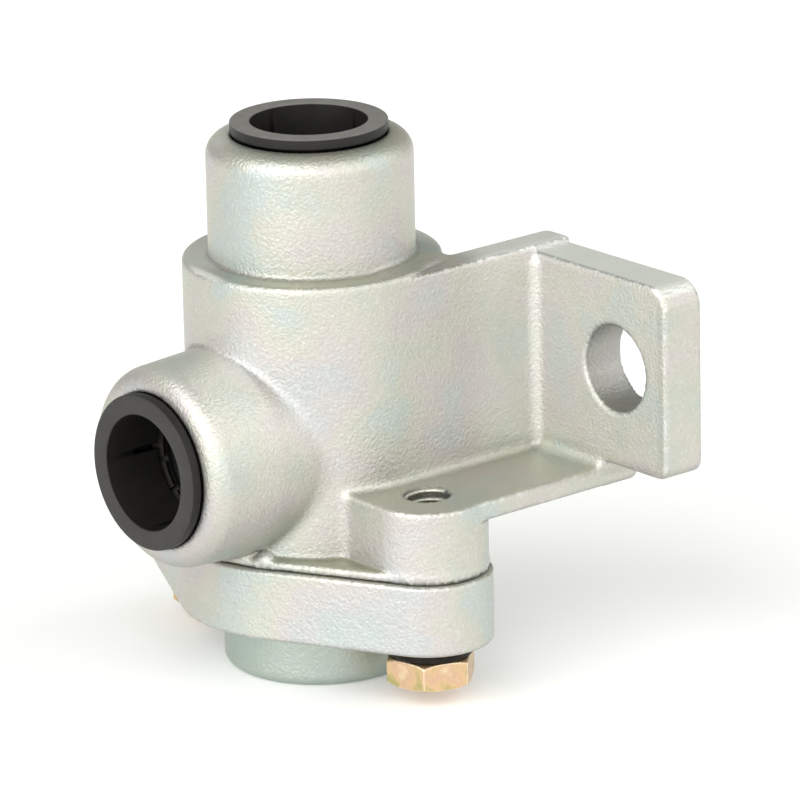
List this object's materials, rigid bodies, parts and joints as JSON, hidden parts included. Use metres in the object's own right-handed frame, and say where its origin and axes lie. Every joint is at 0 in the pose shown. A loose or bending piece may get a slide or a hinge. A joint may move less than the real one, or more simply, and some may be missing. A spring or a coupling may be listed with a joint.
{
  "type": "shuttle valve",
  "caption": "Air shuttle valve: cast body with push-to-connect ports on top and at the side, an inlet in a bolted cap below, a sliding shuttle inside and an L-shaped mounting bracket.",
  "frame": {"origin": "on the bracket's mounting face, level with the centre of the mounting hole and 13.8 mm from it towards the valve", "axes": "+X out of the mounting face, +Z along the valve's main axis from the cap up to the top port, so the side port faces -X and the bracket's free end points to -Y"},
  "size_m": [0.0614, 0.076, 0.0767],
  "materials": {
    "casting": "fine blasted casting with a pale zinc plating that shows faint pastel colours",
    "black_plastic": "matte moulded acetal",
    "yellow_zinc": "yellow passivated zinc plating",
    "black_steel": "black oxide spring steel",
    "rubber": "smooth moulded rubber",
    "guide_plastic": "natural acetal",
    "aluminium": "turned aluminium"
  },
  "bodies": {
    "valve": {"valve_body": "casting", "end_cap": "casting", "cap_seal_ring": "rubber", "shuttle_guide": "guide_plastic", "top_cartridge_sleeve": "black_plastic", "top_grab_ring": "black_steel", "top_seal_spacer": "black_plastic", "top_tube_seal": "rubber", "side_cartridge_sleeve": "black_plastic", "side_grab_ring": "black_steel", "side_seal_spacer": "black_plastic", "side_tube_seal": "rubber", "front_cap_screw": "yellow_zinc", "rear_cap_screw": "yellow_zinc", "front_lock_washer": "black_steel", "rear_lock_washer": "black_steel"},
    "shuttle": {"shuttle_core": "aluminium", "shuttle_face_lower": "rubber", "shuttle_face_upper": "rubber"},
    "top_collet": {"top_release_collet": "black_plastic"},
    "side_collet": {"side_release_collet": "black_plastic"}
  },
  "joints": [
    {"name": "shuttle_slide", "type": "slide", "parent": "valve", "child": "shuttle", "axis": [0, 0, 1], "range_m": [0, 0.006]},
    {"name": "top_collet_slide", "type": "slide", "parent": "valve", "child": "top_collet", "axis": [0, 0, 1], "range_m": [0, 0.0015]},
    {"name": "side_collet_slide", "type": "slide", "parent": "valve", "child": "side_collet", "axis": [-1, 0, 0], "range_m": [0, 0.0015]}
  ]
}
